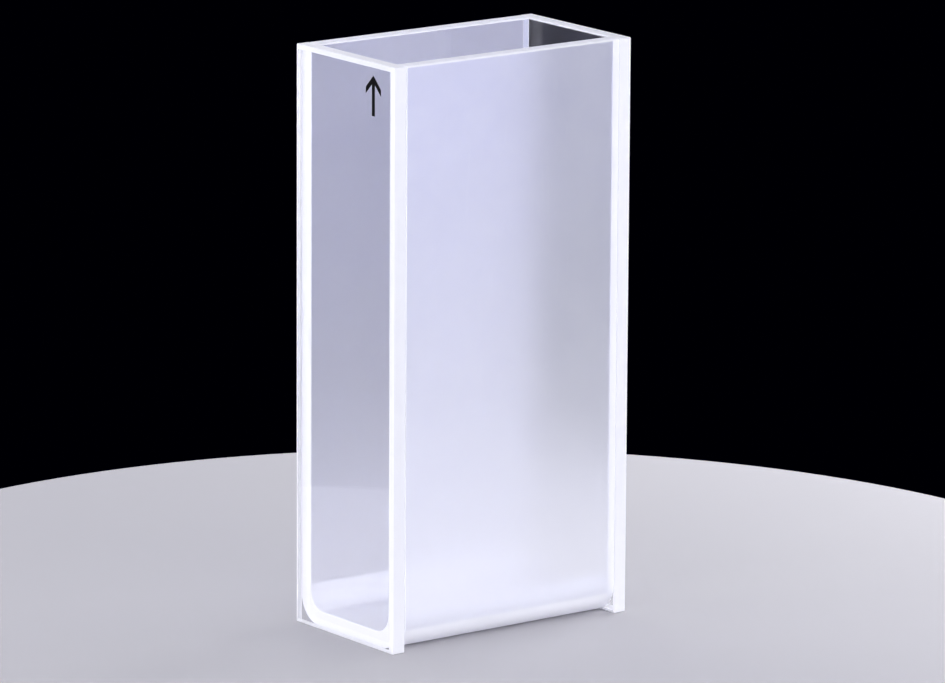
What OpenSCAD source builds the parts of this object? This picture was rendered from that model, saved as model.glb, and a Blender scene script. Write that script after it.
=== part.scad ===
// Rectangular quartz cell for a spectrophotometer, 20 mm light path.
// A U-shaped body, ground matt on the outside, forms both long walls and the floor.
// A polished window closes each end and is fused to the body face to face.
// The light runs along X, the mouth is up, and the cell stands on Z = 0.

/* [Well] */
// Light path: clear length between the two windows
light_path = 20; // [8:0.5:60]
// Clear width between the two long walls
well_width = 10; // [6:0.5:24]
// Height of the cell, from the surface it stands on to its rim
cell_height = 45; // [20:0.5:80]

/* [Glass] */
// Thickness of the two long walls
wall_thickness = 1.25; // [0.8:0.05:2.5]
// Thickness of the floor
floor_thickness = 1.25; // [0.8:0.05:4]
// Thickness of the window at each end
window_thickness = 1.25; // [0.8:0.05:3]

/* [Corners] */
// Outer radius of the body, along its two long bottom edges
outer_radius = 2.25; // [0.5:0.05:3.5]
// Inner radius of the body, between its floor and its walls
inner_radius = 1.5; // [0.3:0.05:2.5]

/* [Ground edges] */
// Bevel round the outer face of each window
window_bevel = 0.25; // [0.05:0.05:0.5]
// Bevel along the rim, round the mouth and along the long walls
rim_bevel = 0.15; // [0.05:0.05:0.3]

/* [Hidden] */

cell_width = well_width + 2 * wall_thickness;
cell_length = light_path + 2 * window_thickness;

// How far a cutting shape runs past the glass that it cuts
overrun = 1;
// Sides of a full round: every round is a true arc
$fn = 96;

// Upright outline with two round bottom corners. It stands on the X axis, centred on it.
module round_bottomed(width, height, radius) {
    translate([-width / 2, radius])
        square([width, height - radius]);
    translate([-width / 2 + radius, 0])
        square([width - 2 * radius, radius]);
    for (side = [-1, 1])
        translate([side * (width / 2 - radius), radius])
            circle(radius);
}

// Cross-section of the body: two walls and a floor with round corners
module u_section() {
    difference() {
        round_bottomed(cell_width, cell_height, outer_radius);
        translate([0, floor_thickness])
            round_bottomed(well_width, cell_height, inner_radius);
    }
}

// Section of a funnel that widens at 45 degrees from a clear opening up to the rim
module flare_section(opening) {
    below = opening / 2 - rim_bevel;
    above = opening / 2 + rim_bevel + overrun;
    polygon([
        [-below, cell_height - 2 * rim_bevel],
        [below, cell_height - 2 * rim_bevel],
        [above, cell_height + overrun],
        [-above, cell_height + overrun],
    ]);
}

// Turns a drawing upright, its X along the cell's X, and extrudes it across the cell
module across(depth) {
    rotate([90, 0, 0])
        linear_extrude(depth, center = true) children();
}

// Turns a drawing upright, its X along the cell's Y, and extrudes it along the cell
module along(depth) {
    rotate([90, 0, 90])
        linear_extrude(depth, center = true) children();
}

// Square bar that runs along its own Z, turned on edge so that it bevels a square corner
module bevel_bar(bevel, length) {
    side = bevel * sqrt(2);
    rotate(45)
        cube([side, side, length + 2 * overrun], center = true);
}

// What is ground off the rim: the mouth's inner edge, mitred, and the long walls' outer edges
module rim_cut() {
    intersection() {
        across(cell_width) flare_section(light_path);
        along(cell_length) flare_section(well_width);
    }
    for (side = [-1, 1])
        translate([0, side * cell_width / 2, cell_height])
            rotate([0, 90, 0])
                bevel_bar(rim_bevel, cell_length);
}

// What is ground off round the outer face of the window at +X
module window_cut() {
    for (side = [-1, 1])
        translate([cell_length / 2, side * cell_width / 2, cell_height / 2])
            bevel_bar(window_bevel, cell_height);
    for (level = [0, cell_height])
        translate([cell_length / 2, 0, level])
            rotate([90, 0, 0])
                bevel_bar(window_bevel, cell_width);
}

// Rectangular window at +X, as wide and as high as the cell
module window() {
    difference() {
        translate([light_path / 2, -cell_width / 2, 0])
            cube([window_thickness, cell_width, cell_height]);
        window_cut();
        rim_cut();
    }
}

// Long walls and floor in one piece, open at both ends, matt outside
module u_body() {
    color([0.86, 0.87, 0.94])
        difference() {
            along(light_path) u_section();
            rim_cut();
        }
}

// Clear window where the light goes in
module entrance_window() {
    color([0.93, 0.94, 0.99])
        mirror([1, 0, 0]) window();
}

// Clear window where the light comes out
module exit_window() {
    color([0.93, 0.94, 0.99])
        window();
}

u_body();
entrance_window();
exit_window();
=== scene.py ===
import math

import bmesh
import bpy
from mathutils import Matrix, Vector


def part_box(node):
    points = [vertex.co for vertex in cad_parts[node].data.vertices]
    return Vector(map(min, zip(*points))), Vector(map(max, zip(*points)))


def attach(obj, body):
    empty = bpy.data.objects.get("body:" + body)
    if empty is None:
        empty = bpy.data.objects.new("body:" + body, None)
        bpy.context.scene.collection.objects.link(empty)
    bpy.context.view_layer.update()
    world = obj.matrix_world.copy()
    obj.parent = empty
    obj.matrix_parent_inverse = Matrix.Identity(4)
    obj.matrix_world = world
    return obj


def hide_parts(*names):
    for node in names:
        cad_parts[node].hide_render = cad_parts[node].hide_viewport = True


mm = 0.001
sameSpot = 0.004 * mm      # anything closer counts as the same place
x, y, z = 0, 1, 2          # the axes by number
squareOn = 0.99            # a face that looks straight along an axis has a larger normal there
arcProfile = 0.5           # makes a bevel a true arc
mixFrom, mixTo, mixed = 6, 7, 2      # the colour sockets of a Mix node

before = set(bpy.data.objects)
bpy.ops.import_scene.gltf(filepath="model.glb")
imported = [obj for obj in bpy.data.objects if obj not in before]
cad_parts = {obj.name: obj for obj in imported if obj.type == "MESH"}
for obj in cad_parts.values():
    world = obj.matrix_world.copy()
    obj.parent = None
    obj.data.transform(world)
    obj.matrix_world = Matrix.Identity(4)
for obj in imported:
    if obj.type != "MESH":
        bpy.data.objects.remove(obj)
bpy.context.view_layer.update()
bodyLow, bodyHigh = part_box("u_body")
entranceLow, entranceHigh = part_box("entrance_window")
exitLow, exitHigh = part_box("exit_window")
print("frame loaded")


def deselectAll():
    if bpy.context.mode != "OBJECT":
        bpy.ops.object.mode_set(mode="OBJECT")
    bpy.ops.object.select_all(action="DESELECT")


def choosePiece(piece):
    deselectAll()
    bpy.context.view_layer.objects.active = piece
    piece.select_set(True)


def editPiece(piece):
    choosePiece(piece)
    bpy.ops.object.mode_set(mode="EDIT")


def pickEdges(piece, wanted):
    # selects only the edges whose two ends pass the test
    bpy.ops.mesh.select_mode(type="EDGE")
    bpy.ops.mesh.select_all(action="DESELECT")
    mesh = bmesh.from_edit_mesh(piece.data)
    for edge in mesh.edges:
        if wanted(edge.verts[0].co, edge.verts[1].co):
            edge.select_set(True)
    bmesh.update_edit_mesh(piece.data)


def pickFaces(piece, wanted):
    # selects only the faces whose centre and normal pass the test
    bpy.ops.mesh.select_mode(type="FACE")
    bpy.ops.mesh.select_all(action="DESELECT")
    mesh = bmesh.from_edit_mesh(piece.data)
    mesh.normal_update()
    for face in mesh.faces:
        if wanted(face.calc_center_median(), face.normal):
            face.select_set(True)
    bmesh.update_edit_mesh(piece.data)


def near(value, target):
    return abs(value - target) < sameSpot


def bothSides(places):
    return [side * place for side in (-1, 1) for place in places]


def addBlock(name, low, high):
    deselectAll()
    bpy.ops.mesh.primitive_cube_add(size=1, location=(Vector(low) + Vector(high)) / 2)
    block = bpy.context.active_object
    block.name = name
    block.scale = Vector(high) - Vector(low)
    bpy.ops.object.transform_apply(location=True, rotation=True, scale=True)
    return block


def cutAcross(axis, places):
    # flat cuts that leave a big face as tidy squares, with no long thin triangles
    direction = [0, 0, 0]
    direction[axis] = 1
    for place in places:
        at = [0, 0, 0]
        at[axis] = place
        bpy.ops.mesh.select_all(action="SELECT")
        bpy.ops.mesh.bisect(plane_co=at, plane_no=direction)


def closeEdit():
    bpy.ops.mesh.select_all(action="SELECT")
    bpy.ops.mesh.normals_make_consistent(inside=False)
    bpy.ops.object.mode_set(mode="OBJECT")


quartz = {
    "ior": 1.4585,
    "smoothUpTo": math.radians(35),
    "flatNormal": 0.9999,      # a face this square to an axis is shaded flat
    "grainHeight": 0.25,       # how high the grain stands, as a share of its width
}


def finishGlass(piece, finishes, chooseFinish):
    # one material slot for each finish, chosen for each face by its place and normal
    names = list(finishes)
    for name in names:
        piece.data.materials.append(finishes[name])
    for face in piece.data.polygons:
        face.material_index = names.index(chooseFinish(face.center, face.normal))
    choosePiece(piece)
    bpy.ops.object.shade_smooth_by_angle(angle=quartz["smoothUpTo"])
    # a flat face stays truly flat, or it would bend what is seen through it
    for face in piece.data.polygons:
        if max(abs(part) for part in face.normal) > quartz["flatNormal"]:
            face.use_smooth = False


def addNode(tree, kind, place, **settings):
    node = tree.nodes.new(kind)
    node.location = place
    for key, value in settings.items():
        setattr(node, key, value)
    return node


def setColour(socket, colour):
    socket.default_value = (*colour, 1)


def setRange(node, fromRange=None, toRange=None):
    if fromRange:
        node.inputs["From Min"].default_value, node.inputs["From Max"].default_value = fromRange
    if toRange:
        node.inputs["To Min"].default_value, node.inputs["To Max"].default_value = toRange


grindWheel = {
    # the group's inputs, with what they hold until a finish sets them
    "sockets": {"Grain Size": 0.05 * mm, "Patch Size": 2 * mm, "Scratch Share": 0.3},
    "grainDetail": 2,
    "patchDetail": 3,
    "patchSwirl": 0.6,
    "scratchTilt": (math.radians(35), math.radians(-28), 0),
    "scratchScale": (2600, 2600, 160),      # per metre: fine across, long along
    "scratchPeaks": (0.68, 0.8),            # only the peaks of the noise are scratches
}


def makeGrindGroup():
    # what a diamond wheel leaves on quartz: fine grain, soft patches, a few faint scratches
    group = bpy.data.node_groups.new("grindMarks", "ShaderNodeTree")
    for name, value in grindWheel["sockets"].items():
        socket = group.interface.new_socket(name=name, in_out="INPUT", socket_type="NodeSocketFloat")
        socket.default_value = value
    for name in ("Height", "Patches"):
        group.interface.new_socket(name=name, in_out="OUTPUT", socket_type="NodeSocketFloat")

    inputs = addNode(group, "NodeGroupInput", (-900, 0))
    outputs = addNode(group, "NodeGroupOutput", (700, 0))
    place = addNode(group, "ShaderNodeTexCoord", (-900, 300))
    link = group.links.new

    def addSpots(socket, row, detail):
        # noise with spots of the size that the socket gives
        scale = addNode(group, "ShaderNodeMath", (-700, row), operation="DIVIDE")
        scale.inputs[0].default_value = 1
        link(inputs.outputs[socket], scale.inputs[1])
        spots = addNode(group, "ShaderNodeTexNoise", (-450, row))
        spots.inputs["Detail"].default_value = detail
        link(place.outputs["Object"], spots.inputs["Vector"])
        link(scale.outputs[0], spots.inputs["Scale"])
        return spots

    grain = addSpots("Grain Size", -100, grindWheel["grainDetail"])
    patches = addSpots("Patch Size", 200, grindWheel["patchDetail"])
    patches.inputs["Distortion"].default_value = grindWheel["patchSwirl"]

    slant = addNode(group, "ShaderNodeMapping", (-700, 500))
    slant.inputs["Rotation"].default_value = grindWheel["scratchTilt"]
    slant.inputs["Scale"].default_value = grindWheel["scratchScale"]
    link(place.outputs["Object"], slant.inputs["Vector"])
    streaks = addNode(group, "ShaderNodeTexNoise", (-450, 500))
    streaks.inputs["Scale"].default_value = 1
    streaks.inputs["Detail"].default_value = 1
    link(slant.outputs[0], streaks.inputs["Vector"])
    peaks = addNode(group, "ShaderNodeMapRange", (-200, 500))
    setRange(peaks, fromRange=grindWheel["scratchPeaks"])
    link(streaks.outputs[0], peaks.inputs["Value"])
    scratches = addNode(group, "ShaderNodeMath", (0, 450), operation="MULTIPLY")
    link(peaks.outputs[0], scratches.inputs[0])
    link(inputs.outputs["Scratch Share"], scratches.inputs[1])

    height = addNode(group, "ShaderNodeMath", (250, 0), operation="SUBTRACT")
    link(grain.outputs[0], height.inputs[0])
    link(scratches.outputs[0], height.inputs[1])
    link(height.outputs[0], outputs.inputs["Height"])
    tone = addNode(group, "ShaderNodeMath", (250, 250), operation="ADD", use_clamp=True)
    link(patches.outputs[0], tone.inputs[0])
    link(scratches.outputs[0], tone.inputs[1])
    link(tone.outputs[0], outputs.inputs["Patches"])
    return group


def makeGlass(name, look, grindGroup):
    material = bpy.data.materials.new(name)
    material.use_nodes = True
    tree = material.node_tree
    link = tree.links.new
    shader = tree.nodes["Principled BSDF"]
    shader.inputs["IOR"].default_value = quartz["ior"]
    shader.inputs["Transmission Weight"].default_value = look["clearShare"]
    grind = addNode(tree, "ShaderNodeGroup", (-900, 0), node_tree=grindGroup)
    grind.inputs["Grain Size"].default_value = look["grainSize"]
    grind.inputs["Patch Size"].default_value = look["patchSize"]
    grind.inputs["Scratch Share"].default_value = look["scratchShare"]

    colour = addNode(tree, "ShaderNodeMix", (-500, 200), data_type="RGBA")
    setColour(colour.inputs[mixFrom], look["darkColour"])
    setColour(colour.inputs[mixTo], look["lightColour"])
    link(grind.outputs["Patches"], colour.inputs[0])

    # painted light: the base colour is mixed towards a whiter glow nearer the foot, standing in for
    # the light that the thick foot gathers
    place = addNode(tree, "ShaderNodeTexCoord", (-900, 400))
    axes = addNode(tree, "ShaderNodeSeparateXYZ", (-700, 400))
    link(place.outputs["Object"], axes.inputs[0])
    foot = addNode(tree, "ShaderNodeMapRange", (-500, 450))
    setRange(foot, fromRange=(look["footTop"], look["footBottom"]))
    link(axes.outputs["Z"], foot.inputs["Value"])
    paintedGlow = addNode(tree, "ShaderNodeMix", (-250, 250), data_type="RGBA")
    setColour(paintedGlow.inputs[mixTo], look["footGlowColour"])
    link(foot.outputs[0], paintedGlow.inputs[0])
    link(colour.outputs[mixed], paintedGlow.inputs[mixFrom])
    link(paintedGlow.outputs[mixed], shader.inputs["Base Color"])

    roughness = addNode(tree, "ShaderNodeMapRange", (-500, -50))
    setRange(roughness, fromRange=look["patchRange"], toRange=look["roughness"])
    link(grind.outputs["Patches"], roughness.inputs["Value"])
    link(roughness.outputs[0], shader.inputs["Roughness"])

    if look["bump"] > 0:
        bump = addNode(tree, "ShaderNodeBump", (-300, -250))
        bump.inputs["Strength"].default_value = look["bump"]
        bump.inputs["Distance"].default_value = look["grainSize"] * quartz["grainHeight"]
        link(grind.outputs["Height"], bump.inputs["Height"])
        link(bump.outputs[0], shader.inputs["Normal"])
    return material


grindMarks = makeGrindGroup()

# the two long outsides, ground to an even frost
mattQuartz = makeGlass("mattQuartz", {
    "clearShare": 0.60,
    "darkColour": (0.745, 0.755, 0.95), "lightColour": (0.825, 0.835, 0.99),
    # painted light: from just under the rim down to the foot the colour turns whiter, brighter
    # towards the bottom
    "footGlowColour": (0.94, 0.945, 0.99), "footTop": 42 * mm, "footBottom": 1.2 * mm,
    "roughness": (0.42, 0.48), "patchRange": (0.3, 0.7), "bump": 0.15,
    "grainSize": 0.06 * mm, "patchSize": 3 * mm, "scratchShare": 0.25,
}, grindMarks)

# bevels and narrow sides of the windows
groundEdge = makeGlass("groundEdge", {
    "clearShare": 0.38,
    "darkColour": (0.92, 0.92, 0.98), "lightColour": (0.98, 0.98, 1.0),
    "footGlowColour": (0.97, 0.97, 1.0), "footTop": 9 * mm, "footBottom": 1.2 * mm,
    "roughness": (0.6, 0.75), "patchRange": (0.3, 0.7), "bump": 0.2,
    "grainSize": 0.05 * mm, "patchSize": 1.5 * mm, "scratchShare": 0.0,
}, grindMarks)

# fused ends, rim and foot, where the grinding is coarsest; at the foot its whiteness is also a
# painted glow of light piped through the floor
coarseGround = makeGlass("coarseGround", {
    "clearShare": 0.22,
    "darkColour": (0.96, 0.96, 0.98), "lightColour": (0.98, 0.98, 1.0),
    "footGlowColour": (0.97, 0.97, 1.0), "footTop": 2.2 * mm, "footBottom": 1.2 * mm,
    "roughness": (0.5, 0.6), "patchRange": (0.3, 0.7), "bump": 0.15,
    "grainSize": 0.06 * mm, "patchSize": 3 * mm, "scratchShare": 0.0,
}, grindMarks)

# polished faces, with a rare faint smudge
clearQuartz = makeGlass("clearQuartz", {
    "clearShare": 1.0,
    "darkColour": (0.975, 0.98, 1.0), "lightColour": (0.99, 0.99, 1.0),
    "footGlowColour": (0.99, 0.99, 1.0), "footTop": 9 * mm, "footBottom": 1.2 * mm,
    "roughness": (0.0, 0.04), "patchRange": (0.72, 0.85), "bump": 0.0,
    "grainSize": 0.5 * mm, "patchSize": 6 * mm, "scratchShare": 0.0,
}, grindMarks)
print("materials made")


view = {
    "centre": (0, 0, 22.5 * mm),
    "yaw": math.radians(-36.994),      # swings round to the marked end
    "pitch": math.radians(12.659),     # looks down from above
    "roll": math.radians(0.327),
    "distance": 567.4 * mm,
    "aside": -0.744 * mm,              # how far the camera's axis passes beside the centre
    "raised": 0.832 * mm,              # and above it
    "lens": 283.3,                     # in millimetres, as the sensor is
    "sensor": 36,
    "clip": (10 * mm, 20),             # nearest and farthest seen, in metres
}


def addCamera():
    data = bpy.data.cameras.new("camera")
    data.sensor_fit = "HORIZONTAL"
    data.sensor_width = view["sensor"]
    data.lens = view["lens"]
    data.clip_start, data.clip_end = view["clip"]
    camera = bpy.data.objects.new("camera", data)
    bpy.context.scene.collection.objects.link(camera)
    yaw, pitch, roll = view["yaw"], view["pitch"], view["roll"]
    back = Vector((
        math.sin(yaw) * math.cos(pitch),
        -math.cos(yaw) * math.cos(pitch),
        math.sin(pitch),
    ))
    level = Vector((math.cos(yaw), math.sin(yaw), 0))
    upright = back.cross(level)
    right = math.cos(roll) * level + math.sin(roll) * upright
    up = back.cross(right)
    place = Vector(view["centre"]) + back * view["distance"]
    place = place - view["aside"] * right - view["raised"] * up
    turn = Matrix((right, up, back)).transposed().to_4x4()
    camera.matrix_world = Matrix.Translation(place) @ turn
    bpy.context.scene.camera = camera


addCamera()
print("camera placed")


uBody = {
    "wall": 1.25 * mm,
    "floor": 1.25 * mm,
    "outerRadius": 2.25 * mm,
    "outerSteps": 24,
    "innerRadius": 1.5 * mm,
    "innerSteps": 18,
    "rimBevel": 0.13 * mm,
    "rimSteps": 3,
    "rimGrind": 0.195 * mm,    # how far down the rim's coarse grind reaches
    "endBevel": 0.05 * mm,
    "endSteps": 2,
    "endTilt": 0.2,            # a face turned this far towards an end belongs to its bevel
    "baseLine": 1.7 * mm,      # below it the outside is ground coarsely, and its whiter finish there is also a painted glow of light piped through the floor
    "cornerLine": 3.1 * mm,    # up to it the well's bottom corners are ground too
    "seamGap": 0.01 * mm,      # keeps the fused faces from lying in each other
    "seamGlowStrip": 0.6 * mm,     # the strip beside the exit seam, given the whiter finish as a painted glow of light coming through the seam
    "rimStrip": 0.6 * mm,      # the narrow row of faces under the rim
    "rows": 9,                 # rows of faces up the height
}


def makeUBody():
    length = bodyHigh.x - bodyLow.x - 2 * uBody["seamGap"]
    outside = bodyHigh.y
    inside = outside - uBody["wall"]
    floorTop = uBody["floor"]
    top = bodyHigh.z
    body = addBlock("uBodyGlass", (-length / 2, -outside, 0), (length / 2, outside, floorTop))
    editPiece(body)
    cutAcross(y, bothSides([inside]))
    pickFaces(body, lambda centre, normal: normal.z > squareOn and abs(centre.y) > inside)
    bpy.ops.mesh.extrude_region_move(TRANSFORM_OT_translate={"value": (0, 0, top - floorTop)})
    # what lies flat becomes one face again, so that only true corners are bevelled
    bpy.ops.mesh.select_all(action="SELECT")
    bpy.ops.mesh.dissolve_limited(angle_limit=math.radians(1))

    def runsAlong(a, b):
        return abs(a.x - b.x) > length / 2

    # round bottom outside, then the inner corners, then the rim
    pickEdges(body, lambda a, b: runsAlong(a, b) and near(a.z, 0) and near(abs(a.y), outside))
    bpy.ops.mesh.bevel(
        offset=uBody["outerRadius"], segments=uBody["outerSteps"], profile=arcProfile)
    pickEdges(body, lambda a, b: runsAlong(a, b) and near(a.z, floorTop) and near(abs(a.y), inside))
    bpy.ops.mesh.bevel(
        offset=uBody["innerRadius"], segments=uBody["innerSteps"], profile=arcProfile)
    pickEdges(body, lambda a, b: runsAlong(a, b) and near(a.z, top))
    bpy.ops.mesh.bevel(offset=uBody["rimBevel"], segments=uBody["rimSteps"], profile=arcProfile)

    # a fine bevel round both end faces
    pickEdges(body, lambda a, b: near(abs(a.x), length / 2) and near(a.x, b.x))
    bpy.ops.mesh.bevel(offset=uBody["endBevel"], segments=uBody["endSteps"], profile=arcProfile)

    # even rows, the floor's middle, the edges of the narrow strips, and the length in thirds
    rows = uBody["rows"]
    cutAcross(z, [top * row / rows for row in range(1, rows)])
    cutAcross(z, [floorTop / 2, uBody["cornerLine"], top - uBody["rimStrip"]])
    cutAcross(y, bothSides([outside - uBody["outerRadius"], inside]))
    cutAcross(x, bothSides([length / 2 - uBody["seamGlowStrip"], length / 6]))
    closeEdit()

    def chooseFinish(centre, normal):
        if abs(normal.x) > uBody["endTilt"] or centre.z > top - uBody["rimGrind"]:
            return "coarse"
        if abs(centre.y) < inside + sameSpot and centre.z > floorTop - sameSpot:
            byWall = abs(centre.y) > inside - uBody["innerRadius"]
            return "fine" if byWall and centre.z < uBody["cornerLine"] else "well"
        # painted light: the near wall's strip beside the exit seam takes the whiter fine finish, as
        # a glow of light through the seam
        if centre.x > length / 2 - uBody["seamGlowStrip"] and centre.y < -inside:
            return "fine"
        # below the base line the whiter coarse finish is partly real grinding, partly a painted glow
        # of light piped through the floor
        return "coarse" if centre.z < uBody["baseLine"] else "outside"

    finishes = {
        "outside": mattQuartz,
        "well": clearQuartz,
        "coarse": coarseGround,
        "fine": groundEdge,
    }
    finishGlass(body, finishes, chooseFinish)
    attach(body, "root")
    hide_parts("u_body")


makeUBody()
print("body made")


endWindow = {
    "faceBevel": 0.34 * mm,      # round the outer face, measured across it
    "bevelDepth": 0.16 * mm,     # the same bevel, measured into the thickness
    "innerBevel": 0.08 * mm,     # round the face that is fused to the body
    "cornerBevel": 0.06 * mm,    # across the thickness, at the four corners
    "cornerSteps": 2,
    "margin": 0.6 * mm,          # the ring of narrow faces inside the bevel
    "rows": 9,
}


def makeWindow(name, node, low, high, outward):
    window = addBlock(name, low, high)
    outerX = high.x if outward > 0 else low.x
    innerX = low.x if outward > 0 else high.x
    editPiece(window)
    # a flat ground bevel round the outer face, a fine one round the fused face
    pickEdges(window, lambda a, b: near(a.x, outerX) and near(b.x, outerX))
    bpy.ops.mesh.bevel(offset=endWindow["faceBevel"], segments=1)
    bevelFoot = outerX - outward * endWindow["faceBevel"]
    pickEdges(window, lambda a, b: near(a.x, bevelFoot) and near(b.x, bevelFoot))
    shallower = outward * (endWindow["faceBevel"] - endWindow["bevelDepth"])
    bpy.ops.transform.translate(value=(shallower, 0, 0))
    pickEdges(window, lambda a, b: near(a.x, innerX) and near(b.x, innerX))
    bpy.ops.mesh.bevel(offset=endWindow["innerBevel"], segments=1)
    # then the edges that run through the thickness, with the mitres at their ends
    pickEdges(window, lambda a, b: not near(a.x, b.x))
    bpy.ops.mesh.bevel(
        offset=endWindow["cornerBevel"], segments=endWindow["cornerSteps"], profile=arcProfile)

    # even rows and thirds inside a margin
    margin, rows = endWindow["margin"], endWindow["rows"]
    cutAcross(z, [margin] + [high.z * row / rows for row in range(1, rows)] + [high.z - margin])
    cutAcross(y, bothSides([high.y - margin, high.y / 3]))
    closeEdit()

    def chooseFinish(centre, normal):
        if abs(normal.x) > squareOn:
            return "face"
        return "top" if normal.z > squareOn else "side"

    finishes = {"face": clearQuartz, "side": groundEdge, "top": coarseGround}
    finishGlass(window, finishes, chooseFinish)
    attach(window, "root")
    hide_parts(node)


makeWindow("entranceWindowGlass", "entrance_window", entranceLow, entranceHigh, -1)
makeWindow("exitWindowGlass", "exit_window", exitLow, exitHigh, 1)
print("windows made")


pointer = {
    "across": -3.76 * mm,      # beside the near corner of the entrance window
    "foot": 41.0 * mm,
    "height": 3.07 * mm,
    "headWidth": 1.9 * mm,
    "stroke": 0.36 * mm,
    "inkDepth": 0.015 * mm,
    "gap": 0.002 * mm,         # keeps the ink from lying in the window's face
    "seam": 0.001 * mm,        # the halves join where they come this close
    "inkDark": (0.001, 0.001, 0.0015),
    "inkLight": (0.006, 0.006, 0.008),
    "inkRoughness": (0.45, 0.65),
    "inkShine": 0.05,
    "blotScale": 4000,         # per metre
}


def makeInk():
    ink = bpy.data.materials.new("blackInk")
    ink.use_nodes = True
    tree = ink.node_tree
    shader = tree.nodes["Principled BSDF"]
    place = addNode(tree, "ShaderNodeTexCoord", (-900, 0))
    blots = addNode(tree, "ShaderNodeTexNoise", (-700, 0))
    blots.inputs["Scale"].default_value = pointer["blotScale"]
    tree.links.new(place.outputs["Object"], blots.inputs["Vector"])
    shade = addNode(tree, "ShaderNodeMix", (-400, 100), data_type="RGBA")
    setColour(shade.inputs[mixFrom], pointer["inkDark"])
    setColour(shade.inputs[mixTo], pointer["inkLight"])
    tree.links.new(blots.outputs[0], shade.inputs[0])
    tree.links.new(shade.outputs[mixed], shader.inputs["Base Color"])
    shader.inputs["Specular IOR Level"].default_value = pointer["inkShine"]
    gloss = addNode(tree, "ShaderNodeMapRange", (-400, -150))
    setRange(gloss, toRange=pointer["inkRoughness"])
    tree.links.new(blots.outputs[0], gloss.inputs["Value"])
    tree.links.new(gloss.outputs[0], shader.inputs["Roughness"])
    return ink


def makePointer():
    # a plain upright arrow, drawn as its half beside the middle line and mirrored
    halfStroke = pointer["stroke"] / 2
    slope = pointer["stroke"] * math.sqrt(2)      # the head's bars lean by 45 degrees
    tip = pointer["foot"] + pointer["height"]
    outerLine = pointer["across"] + halfStroke
    faceX = entranceLow.x - pointer["gap"]
    deselectAll()
    bpy.ops.mesh.primitive_plane_add(
        size=1,
        location=(faceX, pointer["across"] + halfStroke / 2, tip - slope / 2),
        rotation=(0, math.radians(-90), 0),
    )
    arrow = bpy.context.active_object
    arrow.name = "entrancePointer"
    arrow.scale = (slope, halfStroke, 1)
    bpy.ops.object.transform_apply(location=True, rotation=True, scale=True)
    editPiece(arrow)
    pickEdges(arrow, lambda a, b: near(a.y, outerLine) and near(b.y, outerLine))
    bpy.ops.transform.translate(value=(0, 0, -halfStroke))
    reach = pointer["headWidth"] / 2 - halfStroke
    bpy.ops.mesh.extrude_region_move(TRANSFORM_OT_translate={"value": (0, reach, -reach)})

    def underHead(a, b):
        return max(a.z, b.z) < tip - slope + sameSpot and max(a.y, b.y) < outerLine + sameSpot

    # the shaft grows from under the head and is cut off level at its foot
    pickEdges(arrow, lambda a, b: underHead(a, b) and not near(a.y, b.y))
    bpy.ops.mesh.extrude_region_move(TRANSFORM_OT_translate={"value": (0, 0, -pointer["height"])})
    bpy.ops.mesh.select_all(action="SELECT")
    bpy.ops.mesh.bisect(plane_co=(0, 0, pointer["foot"]), plane_no=(0, 0, 1), clear_inner=True)
    bpy.ops.object.mode_set(mode="OBJECT")

    middle = bpy.data.objects.new("middleLine", None)
    bpy.context.scene.collection.objects.link(middle)
    middle.location = (faceX, pointer["across"], 0)
    bpy.context.view_layer.update()
    half = arrow.modifiers.new("otherHalf", "MIRROR")
    half.use_axis = (False, True, False)
    half.mirror_object = middle
    half.use_mirror_merge = True
    half.merge_threshold = pointer["seam"]
    bpy.ops.object.modifier_apply(modifier=half.name)
    bpy.data.objects.remove(middle)

    editPiece(arrow)
    bpy.ops.mesh.select_all(action="SELECT")
    bpy.ops.mesh.extrude_region_move(TRANSFORM_OT_translate={"value": (-pointer["inkDepth"], 0, 0)})
    closeEdit()
    arrow.data.materials.append(makeInk())
    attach(arrow, "root")


makePointer()
print("pointer made")


floor = {
    "radius": 56 * mm,
    "sides": 160,
    "thickness": 3 * mm,
    "edge": 0.8 * mm,
    "edgeSteps": 5,
    "smoothUpTo": math.radians(30),
    "gap": 0.02 * mm,      # the glass stands on it without lying in it
    "colour": (0.45, 0.44, 0.46),
    "roughness": 0.8,
    "shine": 0.2,
}


def makeFloor():
    deselectAll()
    bpy.ops.mesh.primitive_cylinder_add(
        vertices=floor["sides"],
        radius=floor["radius"],
        depth=floor["thickness"],
        location=(0, 0, -floor["thickness"] / 2 - floor["gap"]),
    )
    disc = bpy.context.active_object
    disc.name = "floorDisc"
    bpy.ops.object.transform_apply(location=True, rotation=True, scale=True)
    editPiece(disc)
    pickEdges(disc, lambda a, b: max(a.z, b.z) > -floor["thickness"] / 2 and near(a.z, b.z))
    bpy.ops.mesh.bevel(offset=floor["edge"], segments=floor["edgeSteps"], profile=arcProfile)
    bpy.ops.object.mode_set(mode="OBJECT")
    bpy.ops.object.shade_smooth_by_angle(angle=floor["smoothUpTo"])
    paint = bpy.data.materials.new("floorPaint")
    paint.use_nodes = True
    shader = paint.node_tree.nodes["Principled BSDF"]
    setColour(shader.inputs["Base Color"], floor["colour"])
    shader.inputs["Roughness"].default_value = floor["roughness"]
    shader.inputs["Specular IOR Level"].default_value = floor["shine"]
    disc.data.materials.append(paint)


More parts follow.
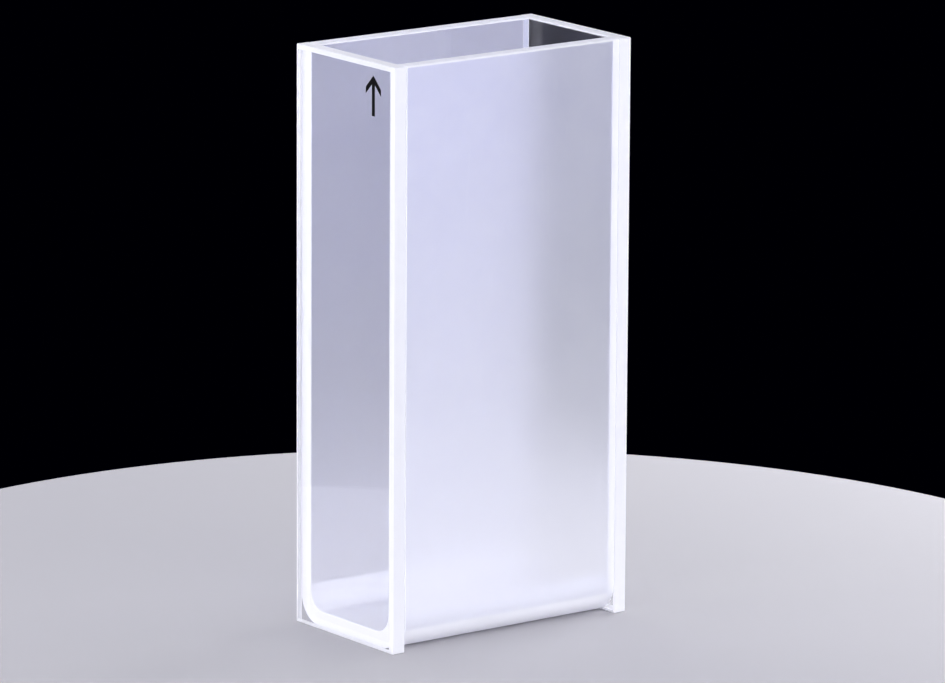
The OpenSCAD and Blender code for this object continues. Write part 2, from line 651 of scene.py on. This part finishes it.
studio = {
    "skyColour": (0.80, 0.825, 1.0),
    "skyStrength": 0.54,
    "hazeColour": (1.0, 0.985, 0.97),      # what ground quartz gathers from the room
    "hazeStrength": 0.26,
    "darkColour": (0.0, 0.0, 0.001),
    "lampAim": (0, 0, 12 * mm),
    # for each softbox its place and its size in metres, and its watts
    "softboxes": {
        "leftSoftbox": ((-0.20, -0.02, 0.07), (0.20, 0.14), 0.335),
        "frontSoftbox": ((0.0, -0.18, 0.08), (0.26, 0.14), 0.205),
        "rightSoftbox": ((0.20, 0.0, 0.035), (0.16, 0.07), 0.72),
        "backSoftbox": ((0.0, 0.20, 0.10), (0.26, 0.16), 0.23),
    },
    # light turns back inside the quartz many times before it comes out
    "bounces": {
        "max_bounces": 24,
        "diffuse_bounces": 8,
        "glossy_bounces": 16,
        "transmission_bounces": 24,
    },
}


def makeSky():
    # dark to look at, also through clear quartz, while its soft light falls on what is matt
    world = bpy.data.worlds.new("studio")
    bpy.context.scene.world = world
    world.use_nodes = True
    tree = world.node_tree
    link = tree.links.new
    sky = tree.nodes["Background"]
    setColour(sky.inputs["Color"], studio["skyColour"])
    sky.inputs["Strength"].default_value = studio["skyStrength"]
    haze = addNode(tree, "ShaderNodeBackground", (0, 0))
    setColour(haze.inputs["Color"], studio["hazeColour"])
    haze.inputs["Strength"].default_value = studio["hazeStrength"]
    dark = addNode(tree, "ShaderNodeBackground", (0, -200))
    setColour(dark.inputs["Color"], studio["darkColour"])
    path = addNode(tree, "ShaderNodeLightPath", (-800, 200))

    # light that has met a matt face on its way is never cut off
    untouched = addNode(tree, "ShaderNodeMath", (-550, 100), operation="LESS_THAN")
    untouched.inputs[1].default_value = 0.5      # less than one bounce off a matt face
    link(path.outputs["Diffuse Depth"], untouched.inputs[0])
    mirrored = addNode(tree, "ShaderNodeMath", (-350, 300), operation="MULTIPLY")
    link(path.outputs["Is Glossy Ray"], mirrored.inputs[0])
    link(untouched.outputs[0], mirrored.inputs[1])
    clear = addNode(tree, "ShaderNodeMath", (-350, 100), operation="MULTIPLY")
    link(path.outputs["Is Singular Ray"], clear.inputs[0])
    link(untouched.outputs[0], clear.inputs[1])
    seen = addNode(tree, "ShaderNodeMath", (-150, 100), operation="MAXIMUM")
    link(clear.outputs[0], seen.inputs[0])
    link(path.outputs["Is Camera Ray"], seen.inputs[1])

    spread = addNode(tree, "ShaderNodeMixShader", (200, 200))
    link(mirrored.outputs[0], spread.inputs[0])
    link(sky.outputs[0], spread.inputs[1])
    link(haze.outputs[0], spread.inputs[2])
    choose = addNode(tree, "ShaderNodeMixShader", (400, 100))
    link(seen.outputs[0], choose.inputs[0])
    link(spread.outputs[0], choose.inputs[1])
    link(dark.outputs[0], choose.inputs[2])
    link(choose.outputs[0], tree.nodes["World Output"].inputs["Surface"])


def addSoftbox(name, place, size, power):
    data = bpy.data.lights.new(name, "AREA")
    data.shape = "RECTANGLE"
    data.size, data.size_y = size
    data.energy = power
    lamp = bpy.data.objects.new(name, data)
    bpy.context.scene.collection.objects.link(lamp)
    lamp.location = place
    aim = Vector(studio["lampAim"]) - Vector(place)
    lamp.rotation_euler = aim.to_track_quat("-Z", "Y").to_euler()


makeFloor()
makeSky()
for name, (place, size, power) in studio["softboxes"].items():
    addSoftbox(name, place, size, power)

scene = bpy.context.scene
scene.view_settings.view_transform = "Standard"
scene.cycles.blur_glossy = 0      # what is polished stays sharp after light has met a matt face
for kind, count in studio["bounces"].items():
    setattr(scene.cycles, kind, count)
print("floor and light set")
